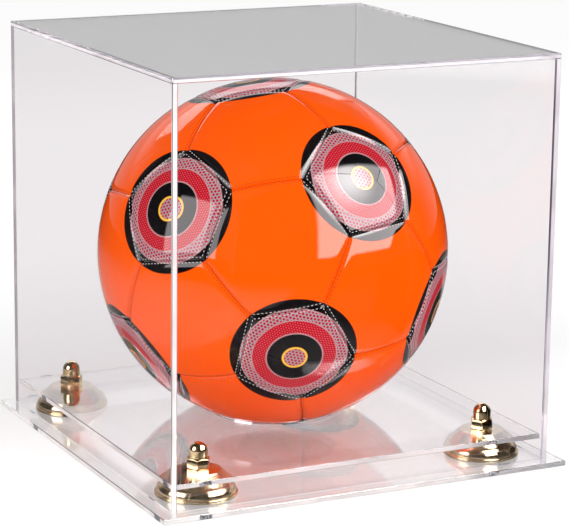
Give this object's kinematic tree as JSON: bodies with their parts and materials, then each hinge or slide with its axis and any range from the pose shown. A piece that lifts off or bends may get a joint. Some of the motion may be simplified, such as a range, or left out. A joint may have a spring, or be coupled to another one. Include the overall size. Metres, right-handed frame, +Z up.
{
  "type": "soccer ball display case",
  "caption": "Clear acrylic soccer ball display case: a lift-off cover over a ball seated in a raised platform on polished brass risers.",
  "frame": {"origin": "centre of the base plate's underside", "axes": "+Z up, the front of the case faces -Y, +X to the right as seen from the front"},
  "size_m": [0.271, 0.271, 0.2562],
  "materials": {
    "clear_acrylic": "clear, flame-polished edges",
    "polished_brass": "mirror-polished",
    "steel_screw": "zinc-plated",
    "orange_panel": "glossy coated foam-backed panel",
    "crimson_and_black_panel": "glossy coated foam-backed panel",
    "carcass_cloth": "rubberised cloth",
    "valve_rubber": "moulded"
  },
  "bodies": {
    "base": {"base_plate": "clear_acrylic", "platform": "clear_acrylic", "front_risers": "polished_brass", "front_screws": "steel_screw", "front_acorn_nuts": "polished_brass", "back_risers": "polished_brass", "back_screws": "steel_screw", "back_acorn_nuts": "polished_brass"},
    "cover": {"cover_left": "clear_acrylic", "cover_right": "clear_acrylic", "cover_front": "clear_acrylic", "cover_back": "clear_acrylic", "cover_top": "clear_acrylic"},
    "ball": {"ball_carcass": "carcass_cloth", "ball_pentagon_panels": "crimson_and_black_panel", "ball_hexagon_panels": "orange_panel", "ball_valve": "valve_rubber"}
  },
  "joints": [
    {"name": "cover_lift", "type": "slide", "parent": "base", "child": "cover", "axis": [0, 0, 1], "range_m": [0, 0.26]},
    {"name": "ball_turn", "type": "hinge", "parent": "base", "child": "ball", "pos_m": [0, 0, 0.1203], "axis": [0, 0, 1], "continuous": true}
  ]
}
